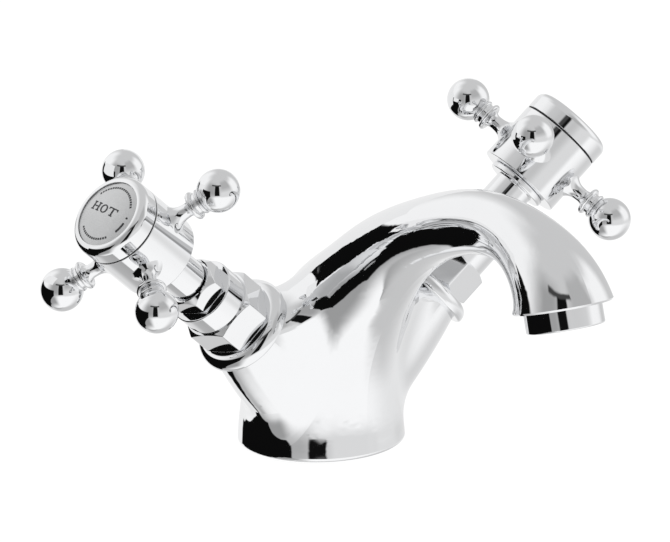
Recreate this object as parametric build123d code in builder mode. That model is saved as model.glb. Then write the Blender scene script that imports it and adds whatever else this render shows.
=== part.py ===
"""Two-handle basin mixer: cast swan-neck body, two quarter-turn valves and two crosshead handles.

Origin at the centre of the base underside. +Z is up, the spout points to -Y, the hot side is -X.
All sizes are in millimetres.
"""
from math import cos, radians, sin, sqrt, tan
import os

from build123d import *

# Base and spine of the cast body, a line that rises, leans forward and turns over to the outlet
BASE_RADIUS = 25.0
BASE_EDGE_ROUND = 1.2
FOOT_INSET = 0.1
ANKLE_INSET = 0.65
WAIST_INSET = 1.5
SHOULDER_INSET = 4.4
TRUNK_HEIGHT = 2.0
TRUNK_BEND_RADIUS = 66.0
SPOUT_RISE_ANGLE = 44.0
SPOUT_RISE_LENGTH = 9.3
CROWN_RADIUS = 114.0
CROWN_END_ANGLE = 8.1
NOSE_LEAD = 10.3
NOSE_TRAIL = 14.5
OUTLET_FORWARD = 34.7
OUTLET_DROP = 16.5
OUTLET_ANGLE = 74.8
OUTLET_EDGE_BEVEL = 0.6

# Places of the body's sections, as a share of the spine curve that each is on
ANKLE_SHARE = 0.12
WAIST_SHARE = 0.28
SHOULDER_SHARE = 0.6
ROOT_SHARE = 0.9
NECK_SHARE = 1 / 3
CROWN_SHARE = 2 / 3
NOSE_SHARE = 0.5
LIP_SHARE = 0.8

# Half-width and half-height of the spout across its spine
ROOT_HALF_WIDTH = 17.9
ROOT_HALF_HEIGHT = 17.6
THROAT_HALF_WIDTH = 15.4
THROAT_HALF_HEIGHT = 14.6
NECK_HALF_WIDTH = 13.4
NECK_HALF_HEIGHT = 11.4
CROWN_HALF_WIDTH = 12.4
CROWN_HALF_HEIGHT = 9.7
CREST_HALF_WIDTH = 9.2
CREST_HALF_HEIGHT = 9.2
NOSE_HALF_WIDTH = 10.6
NOSE_HALF_HEIGHT = 10.0
LIP_HALF_WIDTH = 12.9
LIP_HALF_HEIGHT = 12.4
OUTLET_RADIUS = 14.8

# Valve axes, which cross inside the body
CROSSING_FORWARD = 3.0
CROSSING_HEIGHT = 14.0
VALVE_TILT = 47.7
VALVE_LEAN = 10.2

# Cast arms that carry the valves, measured along the valve axis from the crossing
ARM_LENGTH = 42.5
ARM_END_RADIUS = 12.6
ARM_MIDDLE = 32.0
ARM_MIDDLE_HALF_DEPTH = 15.6
ARM_MIDDLE_HALF_WIDTH = 13.6
ARM_ROOT = 12.0
ARM_ROOT_DEPTH_INSET = 1.6
ARM_ROOT_WIDTH_INSET = 5.6
ARM_BLEND_RADIUS = 17.0

# Waterways in the body
VALVE_BORE_RADIUS = 9.0
VALVE_BORE_DEPTH = 15.5
INLET_PASSAGE_RADIUS = 3.5
INLET_PASSAGE_START = 9.0
INLET_TURN = 12.2
MIXING_PASSAGE_RADIUS = 4.0
MIXING_PASSAGE_ABOVE_FLOOR = 8.0
MIXING_CHAMBER_RADIUS = 10.5
SPOUT_BORE_RADIUS = 5.5

# Underside: two M10 x 1 hose sockets, an M8 stud socket and a groove for the deck seal
HOSE_HOLE_RADIUS = 4.5
HOSE_HOLE_DEPTH = 13.0
STUD_HOLE_RADIUS = 3.4
STUD_HOLE_DEPTH = 14.0
STUD_HOLE_BACK = 11.0
SEAL_MARGIN = 3.5
SEAL_WIDTH = 3.0
SEAL_THICKNESS = 2.0
SEAL_CLEARANCE = 0.1

# Aerator in the outlet
AERATOR_RADIUS = 11.3
AERATOR_SHOULDER = 1.5
AERATOR_WALL = 1.4
AERATOR_PROUD = 6.0
AERATOR_THREAD_LENGTH = 4.0
AERATOR_CLEARANCE = 0.1
AERATOR_LIP = 1.5
AERATOR_WASHER_THICKNESS = 1.6
AERATOR_WASHER_WIDTH = 2.6
AERATOR_EDGE_ROUND = 0.5
INSERT_HEIGHT = 8.0
INSERT_WALL = 1.3
INSERT_FLOOR = 3.0
INSERT_HOLE_RADIUS = 0.9
INSERT_INNER_CIRCLE = 2.2
INSERT_INNER_COUNT = 5
INSERT_OUTER_CIRCLE = 5.6
INSERT_OUTER_COUNT = 12

# Valve bonnet, the brass body of the valve that screws into the arm
FLANGE_RADIUS = 15.0
FLANGE_THICKNESS = 4.4
FLANGE_DOME = 3.3
FLANGE_ROUND = 0.8
FLANGE_BORE_CLEARANCE = 0.15
HEX_ACROSS_FLATS = 21.3
HEX_HEIGHT = 10.2
HEX_CHAMFER_ANGLE = 30.0
BARREL_RADIUS = 10.2
BARREL_HEIGHT = 7.7
BONNET_THREAD_CLEARANCE = 0.1
BONNET_SKIRT_WALL = 1.2
SPIGOT_RADIUS = 6.4
SPIGOT_HEIGHT = 4.0
STUFFING_RADIUS = 5.2
STUFFING_DEPTH = 6.0
SKIRT_END_GAP = 0.3
PORT_WIDTH = 6.0
PORT_HEIGHT = 3.4
BONNET_SEAL_SECTION = 1.6
BONNET_SEAL_BELOW_END = 2.0
SEAL_GROOVE_CLEARANCE = 0.05

# Gland nut and packing on top of the bonnet
NUT_ACROSS_FLATS = 15.0
NUT_HEIGHT = 6.3
NUT_LIP = 1.0
NUT_MOUTH_GAP = 0.6
NUT_RIM = 0.35
NUT_CONE_ANGLE = 54.0
PACKING_HEIGHT = 3.0
PACKING_CLEARANCE = 0.05
THREAD_CLEARANCE = 0.1

# Spindle and ceramic discs
SPINDLE_RADIUS = 3.7
SPINDLE_RUNNING_GAP = 0.06
SPINDLE_FREE_GAP = 0.35
SPINDLE_SQUARE = 5.1
SQUARE_CLEARANCE = 0.1
SPINDLE_SEAL_SECTION = 1.6
SPINDLE_SEAL_HEIGHT = 12.0
FOOT_THICKNESS = 2.5
TONGUE_WIDTH = 2.4
TONGUE_HEIGHT = 1.0
TONGUE_CLEARANCE = 0.05
DISC_SKIRT_GAP = 0.4
FIXED_DISC_GAP = 0.1
DISC_THICKNESS = 2.5
DISC_PORT_RADIUS = 1.9
DISC_PORT_CIRCLE = 4.0
DISC_RUNNING_GAP = 0.05
SEAT_SEAL_HEIGHT = 2.0
SEAT_SEAL_WIDTH = 2.6
THRUST_WASHER_HEIGHT = 0.8
THRUST_RUNNING_GAP = 0.1

# Crosshead handle
NECK_RADIUS = 6.2
NECK_LENGTH = 13.2
COLLAR_RADIUS = 9.3
COLLAR_THICKNESS = 2.0
HUB_RADIUS = 12.9
HUB_BELOW_ARMS = 9.0
HUB_ABOVE_ARMS = 9.8
HUB_EDGE = 0.4
SLEEVE_SPIGOT = 3.5
SLEEVE_CLEARANCE = 0.1
SLEEVE_END_GAP = 0.3
COLLAR_ROUND = 0.6
SQUARE_LENGTH = 7.2
SOCKET_END_GAP = 0.6
HUB_CUP_DEPTH = 4.2
HUB_CUP_RADIUS = 9.6
SCREW_HEAD_RADIUS = 3.6
SCREW_HEAD_HEIGHT = 2.6
SCREW_RADIUS = 1.6
SCREW_CLEARANCE = 0.1
SCREW_LENGTH = 12.0

# Cap and index disc on top of the handle
CAP_SIDE = 3.8
CAP_ROUND = 2.4
CAP_LIP = 0.15
CAP_FLOOR = 2.7
CAP_SPIGOT = 2.8
CAP_SPIGOT_WALL = 1.5
CAP_CLEARANCE = 0.1
DISC_SEAT_CLEARANCE = 0.1
INDEX_SEAT_DEPTH = 2.4
INDEX_EDGE = 2.0
INDEX_DOME = 1.5

# Turned handle arms with a ball at the end
BALL_CIRCLE_RADIUS = 28.24
BALL_RADIUS = 6.375
HANDLE_ARM_COUNT = 4
ARM_TENON_RADIUS = 2.5
ARM_TENON_DEPTH = 3.3
ARM_TENON_ROOT = 0.8
ARM_TENON_CLEARANCE = 0.05
ARM_SEAT_CLEARANCE = 0.03
TRUMPET_RADIUS = 5.2
ARM_WAIST_RADIUS = 2.15
ARM_WAIST_SHARE = 0.66
ARM_FLARE_RADIUS = 2.9
BEAD_RADIUS = 4.4
BEAD_WIDTH = 1.5
GROOVE_RADIUS = 3.25
GROOVE_WIDTH = 1.15
RING_RADIUS = 3.9
RING_WIDTH = 1.0

# Rest angle of the handle arms and of the two hexagons about each valve axis
HOT_ARM_PHASE = 53.8
COLD_ARM_PHASE = 42.9
HOT_HEX_PHASE = 50.2
COLD_HEX_PHASE = 20.0
HOT_NUT_PHASE = 52.0
COLD_NUT_PHASE = 35.0

# Levels along the valve axis, from the crossing outwards
bore_floor = ARM_LENGTH - VALVE_BORE_DEPTH
fixed_disc_bottom = bore_floor + SEAT_SEAL_HEIGHT
moving_disc_bottom = fixed_disc_bottom + DISC_THICKNESS + DISC_RUNNING_GAP
foot_bottom = moving_disc_bottom + DISC_THICKNESS
foot_top = foot_bottom + FOOT_THICKNESS
thrust_bottom = foot_top + THRUST_RUNNING_GAP
chamber_roof = thrust_bottom + THRUST_WASHER_HEIGHT
flange_top = ARM_LENGTH + FLANGE_THICKNESS
hex_top = flange_top + HEX_HEIGHT
barrel_top = hex_top + BARREL_HEIGHT
spigot_top = barrel_top + SPIGOT_HEIGHT
stuffing_floor = spigot_top - STUFFING_DEPTH
nut_top = barrel_top + NUT_HEIGHT
collar_bottom = nut_top + NECK_LENGTH
hub_bottom = collar_bottom + COLLAR_THICKNESS
socket_floor = hub_bottom + SLEEVE_SPIGOT
handle_level = hub_bottom + HUB_BELOW_ARMS
hub_top = handle_level + HUB_ABOVE_ARMS
cup_floor = hub_top - HUB_CUP_DEPTH
cap_edge = hub_top + CAP_SIDE
cap_top = cap_edge + CAP_ROUND
nut_lip_bottom = spigot_top + THREAD_CLEARANCE
nut_lip_top = nut_lip_bottom + NUT_LIP
skirt_bottom = fixed_disc_bottom + SKIRT_END_GAP
port_bottom = chamber_roof - THRUST_WASHER_HEIGHT - PORT_HEIGHT
bonnet_seal_level = ARM_LENGTH - BONNET_SEAL_BELOW_END
spindle_seal_level = chamber_roof + SPINDLE_SEAL_HEIGHT
packing_top = stuffing_floor + PACKING_HEIGHT
sleeve_bottom = nut_lip_top + SLEEVE_END_GAP
square_top = socket_floor + SQUARE_LENGTH
index_seat = cap_top - INDEX_SEAT_DEPTH

# Radii that follow from the sizes above
foot_radius = BASE_RADIUS - FOOT_INSET
ankle_radius = BASE_RADIUS - ANKLE_INSET
waist_radius = BASE_RADIUS - WAIST_INSET
shoulder_radius = BASE_RADIUS - SHOULDER_INSET
arm_root_half_depth = shoulder_radius - ARM_ROOT_DEPTH_INSET
arm_root_half_width = shoulder_radius - ARM_ROOT_WIDTH_INSET
seal_outer_radius = BASE_RADIUS - SEAL_MARGIN
seal_inner_radius = seal_outer_radius - SEAL_WIDTH
bonnet_radius = VALVE_BORE_RADIUS - BONNET_THREAD_CLEARANCE
skirt_bore = bonnet_radius - BONNET_SKIRT_WALL
spindle_bore = SPINDLE_RADIUS + SPINDLE_RUNNING_GAP
cap_rim_radius = HUB_RADIUS - CAP_ROUND
disc_recess_radius = cap_rim_radius - CAP_LIP
index_radius = disc_recess_radius - DISC_SEAT_CLEARANCE
aerator_thread_radius = AERATOR_RADIUS - AERATOR_SHOULDER
outlet_bore_radius = aerator_thread_radius + AERATOR_CLEARANCE
outlet_bore_depth = AERATOR_THREAD_LENGTH + AERATOR_WASHER_THICKNESS
moving_disc_radius = skirt_bore - DISC_SKIRT_GAP
fixed_disc_radius = skirt_bore - FIXED_DISC_GAP
spindle_free_radius = SPINDLE_RADIUS + SPINDLE_FREE_GAP
packing_radius = STUFFING_RADIUS - PACKING_CLEARANCE
neck_socket_radius = NECK_RADIUS + SLEEVE_CLEARANCE
nut_mouth = NECK_RADIUS + NUT_MOUTH_GAP
tenon_socket_radius = ARM_TENON_RADIUS + ARM_TENON_CLEARANCE
insert_radius = aerator_thread_radius - AERATOR_WALL - AERATOR_CLEARANCE


class ValveSide:
    """Frame of one valve: its axis, its cross plane and the plane its profiles are drawn on."""

    def __init__(self, name, side, arm_phase, hex_phase, nut_phase):
        tilt, lean = radians(VALVE_TILT), radians(VALVE_LEAN)
        along = Vector(side * sin(tilt), -cos(tilt) * sin(lean), cos(tilt) * cos(lean))
        across = Vector(0, 1, 0).cross(along).normalized()
        self.name = name
        self.arm_phase = arm_phase
        self.hex_phase = hex_phase
        self.nut_phase = nut_phase
        self.crossing = Vector(0, -CROSSING_FORWARD, CROSSING_HEIGHT)
        self.along = along
        self.axis = Axis(self.crossing, along)
        self.plane = Plane(self.crossing, x_dir=across, z_dir=along)
        self.profile = Plane(self.crossing, x_dir=across, z_dir=across.cross(along))

    def point(self, distance):
        """Point on the valve axis."""
        return self.crossing + self.along * distance

    def arm_planes(self):
        """Profile plane and axis of each handle arm, with the arm along the plane's X."""
        centre = self.point(handle_level)
        step = 360 / HANDLE_ARM_COUNT
        for count in range(HANDLE_ARM_COUNT):
            turn = self.arm_phase + count * step
            out = self.plane.x_dir.rotate(Axis((0, 0, 0), self.along), turn)
            yield Plane(centre, x_dir=out, z_dir=out.cross(self.along)), Axis(centre, out)

    def arm_sections(self, distance):
        """Plane across each handle arm, at a distance from the valve axis."""
        for _, arm_axis in self.arm_planes():
            yield Plane(arm_axis.position + arm_axis.direction * distance, z_dir=arm_axis.direction)


HOT = ValveSide("hot", -1, HOT_ARM_PHASE, HOT_HEX_PHASE, HOT_NUT_PHASE)
COLD = ValveSide("cold", 1, COLD_ARM_PHASE, COLD_HEX_PHASE, COLD_NUT_PHASE)
SIDES = (HOT, COLD)


def finish(piece, name):
    """Label a finished piece and write it."""
    piece.part.label = name
    export_step(piece.part, f"parts/{name}.step")


def turned(valve, *outline):
    """Solid of revolution about a valve axis from (radius, level) corners."""
    with BuildPart() as piece:
        with BuildSketch(valve.profile):
            with BuildLine():
                Polyline(*outline, close=True)
            make_face()
        revolve(axis=valve.axis)
    return piece


def ring(valve, inner, outer, bottom, top):
    """Plain ring about a valve axis."""
    return turned(valve, (inner, bottom), (outer, bottom), (outer, top), (inner, top))


def seal_ring(valve, inner, section, level):
    """Ring of round section about a valve axis, with its middle at a level."""
    with BuildPart() as piece:
        with BuildSketch(valve.profile):
            with Locations((inner + section / 2, level)):
                Circle(section / 2)
        revolve(axis=valve.axis)
    return piece


def hexagon_cone(valve, across_flats, bottom, top, top_radius, top_angle):
    """Turned blank that rounds off a hexagon's corners at both ends, with a cone of its own on top."""
    corner = across_flats / sqrt(3)
    face = across_flats / 2
    rise = (corner - face) * tan(radians(HEX_CHAMFER_ANGLE))
    drop = (corner - top_radius) * tan(radians(top_angle))
    return turned(valve, (0, bottom), (face, bottom), (corner, bottom + rise),
                  (corner, top - drop), (top_radius, top), (0, top))


def spine_line():
    """Centre line of the trunk and spout, and the spout's own stretch of it."""
    with BuildLine(Plane.YZ) as line:
        trunk = Line((0, 0), (0, TRUNK_HEIGHT))
        bend = JernArc(trunk @ 1, trunk % 1, TRUNK_BEND_RADIUS, 90 - SPOUT_RISE_ANGLE)
        rise = PolarLine(bend @ 1, SPOUT_RISE_LENGTH, direction=bend % 1)
        crown = JernArc(rise @ 1, rise % 1, CROWN_RADIUS, SPOUT_RISE_ANGLE - CROWN_END_ANGLE)
        outflow = Vector(0, -cos(radians(OUTLET_ANGLE)), -sin(radians(OUTLET_ANGLE)))
        outlet = crown @ 1 - Vector(0, OUTLET_FORWARD, OUTLET_DROP)
        nose = Bezier(crown @ 1, crown @ 1 + crown % 1 * NOSE_LEAD, outlet - outflow * NOSE_TRAIL, outlet)
    return trunk, bend, rise, crown, nose


trunk, bend, rise, crown, nose = spine_line()
chamber_centre = bend @ ROOT_SHARE
outlet_centre = nose @ 1
outlet_plane = Plane(outlet_centre, x_dir=(1, 0, 0), z_dir=nose % 1)
outlet_axis = Axis(outlet_centre, nose % 1)
outlet_profile = Plane(outlet_centre, x_dir=(1, 0, 0), z_dir=Vector(1, 0, 0).cross(nose % 1))

# Stations of the trunk and spout: curve, share of its length, half-width, half-height
SPINE_STATIONS = (
    (trunk, 0, BASE_RADIUS, BASE_RADIUS),
    (trunk, 1, foot_radius, foot_radius),
    (bend, ANKLE_SHARE, ankle_radius, ankle_radius),
    (bend, WAIST_SHARE, waist_radius, waist_radius),
    (bend, SHOULDER_SHARE, shoulder_radius, shoulder_radius),
    (bend, ROOT_SHARE, ROOT_HALF_WIDTH, ROOT_HALF_HEIGHT),
    (rise, 1, THROAT_HALF_WIDTH, THROAT_HALF_HEIGHT),
    (crown, NECK_SHARE, NECK_HALF_WIDTH, NECK_HALF_HEIGHT),
    (crown, CROWN_SHARE, CROWN_HALF_WIDTH, CROWN_HALF_HEIGHT),
    (crown, 1, CREST_HALF_WIDTH, CREST_HALF_HEIGHT),
    (nose, NOSE_SHARE, NOSE_HALF_WIDTH, NOSE_HALF_HEIGHT),
    (nose, LIP_SHARE, LIP_HALF_WIDTH, LIP_HALF_HEIGHT),
    (nose, 1, OUTLET_RADIUS, OUTLET_RADIUS),
)

# Stations of a valve arm: distance from the crossing, half-depth in the valves' plane, half-width
ARM_STATIONS = (
    (ARM_ROOT, arm_root_half_depth, arm_root_half_width),
    (ARM_MIDDLE, ARM_MIDDLE_HALF_DEPTH, ARM_MIDDLE_HALF_WIDTH),
    (ARM_LENGTH, ARM_END_RADIUS, ARM_END_RADIUS),
)


def oval(plane, half_width, half_height):
    """Oval section drawn as two halves that meet at its top and bottom."""
    with BuildSketch(plane) as section:
        with BuildLine():
            for start in (90, 270):
                EllipticalCenterArc((0, 0), half_width, half_height, start, arc_size=180)
        make_face()
    return section.sketch.face()


def cast_body():
    """Swan-neck body with two valve arms, its waterways and the sockets in its underside."""
    spine_sections = [oval(Plane(curve @ share, x_dir=(1, 0, 0), z_dir=curve % share), width, height)
                      for curve, share, width, height in SPINE_STATIONS]
    arm_sections = {valve.name: [oval(valve.plane.offset(level), depth, width)
                                 for level, depth, width in ARM_STATIONS] for valve in SIDES}
    with BuildPart() as body:
        # Trunk and spout in one sweep, then the two arms blended into it
        loft(spine_sections)
        fillet(body.edges().group_by(Axis.Z)[0], BASE_EDGE_ROUND)
        chamfer(body.faces().sort_by_distance(outlet_centre)[0].edges(), OUTLET_EDGE_BEVEL)
        for valve in SIDES:
            loft(arm_sections[valve.name])
            fillet(body.edges(Select.NEW), ARM_BLEND_RADIUS)

        # Valve bores, the inlets that feed them and the passages from them to the mixing chamber
        for valve in SIDES:
            with BuildSketch(valve.plane.offset(ARM_LENGTH)):
                Circle(VALVE_BORE_RADIUS)
            extrude(amount=-VALVE_BORE_DEPTH, mode=Mode.SUBTRACT)
            with BuildSketch(valve.plane.offset(bore_floor)):
                Circle(INLET_PASSAGE_RADIUS)
            extrude(amount=INLET_PASSAGE_START - bore_floor, mode=Mode.SUBTRACT)
            turn = valve.point(INLET_TURN)
            with BuildSketch():
                with Locations((turn.X, turn.Y)):
                    Circle(INLET_PASSAGE_RADIUS)
            extrude(amount=turn.Z, mode=Mode.SUBTRACT)
            with BuildSketch():
                with Locations((turn.X, turn.Y)):
                    Circle(HOSE_HOLE_RADIUS)
            extrude(amount=HOSE_HOLE_DEPTH, mode=Mode.SUBTRACT)
            port = valve.point(bore_floor + MIXING_PASSAGE_ABOVE_FLOOR)
            with BuildSketch(Plane(port, z_dir=chamber_centre - port)):
                Circle(MIXING_PASSAGE_RADIUS)
            extrude(amount=(chamber_centre - port).length, mode=Mode.SUBTRACT)

        # Mixing chamber, spout bore and the threaded outlet
        with Locations(chamber_centre):
            Sphere(MIXING_CHAMBER_RADIUS, mode=Mode.SUBTRACT)
        with BuildSketch(Plane(rise @ 0, x_dir=(1, 0, 0), z_dir=rise % 0)):
            Circle(SPOUT_BORE_RADIUS)
        sweep(path=Wire([rise, crown, nose]), mode=Mode.SUBTRACT)
        with BuildSketch(outlet_plane):
            Circle(outlet_bore_radius)
        extrude(amount=-outlet_bore_depth, mode=Mode.SUBTRACT)

        # Stud socket and seal groove in the underside
        with BuildSketch():
            with Locations((0, STUD_HOLE_BACK)):
                Circle(STUD_HOLE_RADIUS)
        extrude(amount=STUD_HOLE_DEPTH, mode=Mode.SUBTRACT)
        with BuildSketch():
            Circle(seal_outer_radius + SEAL_CLEARANCE)
            Circle(seal_inner_radius - SEAL_CLEARANCE, mode=Mode.SUBTRACT)
        extrude(amount=SEAL_THICKNESS, mode=Mode.SUBTRACT)
    return body


def base_seal():
    """Flat rubber ring let into the underside."""
    with BuildPart() as seal:
        with BuildSketch():
            Circle(seal_outer_radius)
            Circle(seal_inner_radius, mode=Mode.SUBTRACT)
        extrude(amount=SEAL_THICKNESS)
    return seal


def aerator_housing():
    """Ring under the outlet with a thread that screws into it and a lip that holds the insert."""
    inner = aerator_thread_radius - AERATOR_WALL
    with BuildPart() as housing:
        with BuildSketch(outlet_profile):
            with BuildLine():
                Polyline((inner, -AERATOR_THREAD_LENGTH), (aerator_thread_radius, -AERATOR_THREAD_LENGTH),
                         (aerator_thread_radius, AERATOR_CLEARANCE), (AERATOR_RADIUS, AERATOR_CLEARANCE),
                         (AERATOR_RADIUS, AERATOR_PROUD), (inner - AERATOR_LIP, AERATOR_PROUD),
                         (inner - AERATOR_LIP, AERATOR_PROUD - AERATOR_LIP),
                         (inner, AERATOR_PROUD - AERATOR_LIP), close=True)
            make_face()
        revolve(axis=outlet_axis)
        rim = housing.edges().filter_by(GeomType.CIRCLE).sort_by(SortBy.RADIUS)[-2:]
        fillet(rim.sort_by(outlet_axis)[-1], AERATOR_EDGE_ROUND)
    return housing


def aerator_insert():
    """Cup with a pierced floor that mixes air into the water."""
    floor = AERATOR_PROUD - AERATOR_LIP
    with BuildPart() as insert:
        with BuildSketch(outlet_plane.offset(floor)):
            Circle(insert_radius)
        extrude(amount=-INSERT_HEIGHT)
        with BuildSketch(outlet_plane.offset(floor - INSERT_FLOOR)):
            Circle(insert_radius - INSERT_WALL)
        extrude(amount=INSERT_FLOOR - INSERT_HEIGHT, mode=Mode.SUBTRACT)
        with BuildSketch(outlet_plane.offset(floor)):
            with PolarLocations(INSERT_INNER_CIRCLE, INSERT_INNER_COUNT):
                Circle(INSERT_HOLE_RADIUS)
            with PolarLocations(INSERT_OUTER_CIRCLE, INSERT_OUTER_COUNT):
                Circle(INSERT_HOLE_RADIUS)
        extrude(amount=-INSERT_FLOOR, mode=Mode.SUBTRACT)
    return insert


def aerator_washer():
    """Rubber washer between the outlet's shoulder and the housing."""
    with BuildPart() as washer:
        with BuildSketch(outlet_plane.offset(-outlet_bore_depth)):
            Circle(aerator_thread_radius)
            Circle(aerator_thread_radius - AERATOR_WASHER_WIDTH, mode=Mode.SUBTRACT)
        extrude(amount=AERATOR_WASHER_THICKNESS)
    return washer


def flange(valve):
    """Round cover ring with a domed top, clamped between the arm and the bonnet's hexagon."""
    inner = bonnet_radius + FLANGE_BORE_CLEARANCE
    with BuildPart() as cover:
        with BuildSketch(valve.plane.offset(ARM_LENGTH)):
            Circle(FLANGE_RADIUS)
            Circle(inner, mode=Mode.SUBTRACT)
        extrude(amount=FLANGE_THICKNESS)
        rims = cover.edges().filter_by(GeomType.CIRCLE).sort_by(SortBy.RADIUS)[-2:]
        lower_rim, upper_rim = rims.sort_by(valve.axis)
        fillet(upper_rim, FLANGE_DOME)
        fillet(lower_rim, FLANGE_ROUND)
    return cover


def bonnet(valve):
    """Valve body: threaded skirt, hexagon, barrel and the spigot that carries the gland nut."""
    hex_face = HEX_ACROSS_FLATS / 2
    blank = hexagon_cone(valve, HEX_ACROSS_FLATS, flange_top, hex_top, hex_face, HEX_CHAMFER_ANGLE)
    groove_inner = bonnet_radius - BONNET_SEAL_SECTION
    groove_half = BONNET_SEAL_SECTION / 2 + SEAL_GROOVE_CLEARANCE
    with BuildPart() as valve_body:
        with BuildSketch(valve.plane.offset(flange_top)):
            RegularPolygon(hex_face, 6, major_radius=False, rotation=valve.hex_phase)
        extrude(amount=HEX_HEIGHT)
        add(blank.part, mode=Mode.INTERSECT)
        with BuildSketch(valve.profile):
            with BuildLine():
                Polyline((0, skirt_bottom), (bonnet_radius, skirt_bottom),
                         (bonnet_radius, bonnet_seal_level - groove_half),
                         (groove_inner, bonnet_seal_level - groove_half),
                         (groove_inner, bonnet_seal_level + groove_half),
                         (bonnet_radius, bonnet_seal_level + groove_half),
                         (bonnet_radius, hex_top), (BARREL_RADIUS, hex_top),
                         (BARREL_RADIUS, barrel_top), (SPIGOT_RADIUS, barrel_top),
                         (SPIGOT_RADIUS, spigot_top), (0, spigot_top), close=True)
            make_face()
        revolve(axis=valve.axis)
        with BuildSketch(valve.profile):
            with BuildLine():
                Polyline((0, skirt_bottom), (skirt_bore, skirt_bottom), (skirt_bore, chamber_roof),
                         (spindle_bore, chamber_roof), (spindle_bore, stuffing_floor),
                         (STUFFING_RADIUS, stuffing_floor), (STUFFING_RADIUS, spigot_top),
                         (0, spigot_top), close=True)
            make_face()
        revolve(axis=valve.axis, mode=Mode.SUBTRACT)
        with BuildSketch(valve.plane.offset(port_bottom)):
            Rectangle(PORT_WIDTH, 2 * VALVE_BORE_RADIUS)
        extrude(amount=PORT_HEIGHT, mode=Mode.SUBTRACT)
    return valve_body


def gland_nut(valve):
    """Small hexagon nut with a conical top that presses the gland onto its packing."""
    blank = hexagon_cone(valve, NUT_ACROSS_FLATS, barrel_top, nut_top, nut_mouth + NUT_RIM, NUT_CONE_ANGLE)
    thread_radius = SPIGOT_RADIUS + THREAD_CLEARANCE
    with BuildPart() as nut:
        with BuildSketch(valve.plane.offset(barrel_top)):
            RegularPolygon(NUT_ACROSS_FLATS / 2, 6, major_radius=False, rotation=valve.nut_phase)
        extrude(amount=NUT_HEIGHT)
        add(blank.part, mode=Mode.INTERSECT)
        with BuildSketch(valve.profile):
            with BuildLine():
                Polyline((0, barrel_top), (thread_radius, barrel_top), (thread_radius, nut_lip_bottom),
                         (spindle_free_radius, nut_lip_bottom), (spindle_free_radius, nut_lip_top),
                         (nut_mouth, nut_lip_top), (nut_mouth, nut_top), (0, nut_top), close=True)
            make_face()
        revolve(axis=valve.axis, mode=Mode.SUBTRACT)
    return nut


def ceramic_disc(valve, radius, bottom, turn):
    """Ceramic disc with two ports, the pair set at an angle."""
    with BuildPart() as disc:
        with BuildSketch(valve.plane.offset(bottom)):
            Circle(radius)
            with PolarLocations(DISC_PORT_CIRCLE, 2, start_angle=valve.arm_phase + turn):
                Circle(DISC_PORT_RADIUS, mode=Mode.SUBTRACT)
        extrude(amount=DISC_THICKNESS)
    return disc


def moving_disc(valve):
    """Disc that turns with the spindle, with a slot for the spindle's tongue."""
    blank = ceramic_disc(valve, moving_disc_radius, moving_disc_bottom, 90)
    slot_width = TONGUE_WIDTH + 2 * TONGUE_CLEARANCE
    slot_depth = TONGUE_HEIGHT + TONGUE_CLEARANCE
    with BuildPart() as disc:
        add(blank.part)
        with BuildSketch(valve.plane.offset(foot_bottom)):
            Rectangle(2 * moving_disc_radius, slot_width, rotation=valve.arm_phase)
        extrude(amount=-slot_depth, mode=Mode.SUBTRACT)
    return disc


def spindle(valve):
    """Valve stem: foot with a tongue, round shaft with a seal groove and a square head."""
    groove_inner = SPINDLE_RADIUS - SPINDLE_SEAL_SECTION - SEAL_GROOVE_CLEARANCE
    groove_half = SPINDLE_SEAL_SECTION / 2 + SEAL_GROOVE_CLEARANCE
    with BuildPart() as stem:
        with BuildSketch(valve.profile):
            with BuildLine():
                Polyline((0, foot_bottom), (moving_disc_radius, foot_bottom), (moving_disc_radius, foot_top),
                         (SPINDLE_RADIUS, foot_top), (SPINDLE_RADIUS, spindle_seal_level - groove_half),
                         (groove_inner, spindle_seal_level - groove_half),
                         (groove_inner, spindle_seal_level + groove_half),
                         (SPINDLE_RADIUS, spindle_seal_level + groove_half),
                         (SPINDLE_RADIUS, socket_floor), (0, socket_floor), close=True)
            make_face()
        revolve(axis=valve.axis)
        with BuildSketch(valve.plane.offset(foot_bottom)):
            Circle(moving_disc_radius)
            Rectangle(2 * moving_disc_radius, TONGUE_WIDTH, rotation=valve.arm_phase, mode=Mode.INTERSECT)
        extrude(amount=-TONGUE_HEIGHT)
        with BuildSketch(valve.plane.offset(socket_floor)):
            Rectangle(SPINDLE_SQUARE, SPINDLE_SQUARE, rotation=valve.arm_phase)
        extrude(amount=SQUARE_LENGTH)
        with BuildSketch(valve.plane.offset(square_top)):
            Circle(SCREW_RADIUS + SCREW_CLEARANCE)
        extrude(amount=-SCREW_LENGTH, mode=Mode.SUBTRACT)
    return stem


def stem_sleeve(valve):
    """Neck tube under the hub, with a round collar."""
    with BuildPart() as sleeve:
        with BuildSketch(valve.profile):
            with BuildLine():
                Polyline((spindle_free_radius, sleeve_bottom), (NECK_RADIUS, sleeve_bottom),
                         (NECK_RADIUS, collar_bottom), (COLLAR_RADIUS, collar_bottom),
                         (COLLAR_RADIUS, hub_bottom), (NECK_RADIUS, hub_bottom),
                         (NECK_RADIUS, socket_floor), (spindle_free_radius, socket_floor), close=True)
            make_face()
        revolve(axis=valve.axis)
        rims = sleeve.edges().filter_by(GeomType.CIRCLE).sort_by(SortBy.RADIUS)[-2:]
        fillet(rims, COLLAR_ROUND)
    return sleeve


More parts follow.
